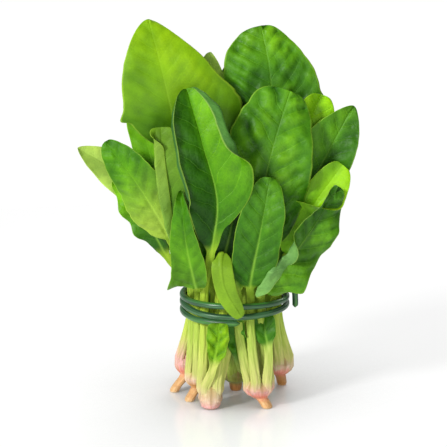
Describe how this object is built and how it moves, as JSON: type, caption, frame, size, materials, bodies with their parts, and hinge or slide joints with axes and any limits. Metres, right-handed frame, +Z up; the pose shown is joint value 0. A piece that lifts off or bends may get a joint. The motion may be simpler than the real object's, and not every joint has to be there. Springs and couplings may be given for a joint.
{
  "type": "spinach bunch",
  "caption": "Bunch of whole spinach plants with their pink root ends, held by a wound cord and standing upright, its leaves fanned out above the tie.",
  "frame": {"origin": "on the ground, under the middle of the bunch's overall box", "axes": "+Z up along the stems, +X to the right and -Y towards the side that the picture shows"},
  "size_m": [0.2077, 0.1153, 0.2853],
  "materials": {
    "leaf_bright": "satin",
    "leaf_middle": "satin",
    "leaf_dark": "satin",
    "leaf_pale": "satin",
    "crown_root": "matte",
    "tie_cord": "satin"
  },
  "bodies": {
    "root": {"crown_left": "crown_root", "crown_inner_left": "crown_root", "crown_front_left": "crown_root", "crown_front_right": "crown_root", "crown_right": "crown_root", "crown_middle": "crown_root", "crown_back_left": "crown_root", "crown_back_right": "crown_root", "leaf_top_left": "leaf_bright", "leaf_front_folded": "leaf_bright", "leaf_right_rounded": "leaf_bright", "leaf_front_tongue": "leaf_bright", "leaf_left_side": "leaf_bright", "leaf_young_front": "leaf_bright", "leaf_back_4": "leaf_bright", "leaf_back_10": "leaf_bright", "leaf_right_pointed": "leaf_middle", "leaf_front_long": "leaf_middle", "leaf_left_pointed": "leaf_middle", "leaf_left_wavy": "leaf_middle", "leaf_left_back": "leaf_middle", "leaf_left_upright": "leaf_middle", "leaf_left_low": "leaf_middle", "leaf_behind_folded": "leaf_middle", "leaf_front_small": "leaf_middle", "leaf_young_middle": "leaf_middle", "leaf_inner_1": "leaf_middle", "leaf_inner_2": "leaf_middle", "leaf_inner_3": "leaf_middle", "leaf_inner_4": "leaf_middle", "leaf_inner_6": "leaf_middle", "leaf_inner_8": "leaf_middle", "leaf_back_2": "leaf_middle", "leaf_back_5": "leaf_middle", "leaf_back_7": "leaf_middle", "leaf_back_8": "leaf_middle", "leaf_centre_right": "leaf_dark", "leaf_top_right": "leaf_dark", "leaf_behind_tip": "leaf_dark", "leaf_right_low": "leaf_dark", "leaf_right_side": "leaf_dark", "leaf_young_right": "leaf_dark", "leaf_inner_5": "leaf_dark", "leaf_inner_7": "leaf_dark", "leaf_back_1": "leaf_dark", "leaf_back_3": "leaf_dark", "leaf_back_6": "leaf_dark", "leaf_back_9": "leaf_dark", "leaf_right_rolled": "leaf_pale", "leaf_far_left": "leaf_pale", "tie_cord": "tie_cord"}
  },
  "joints": []
}
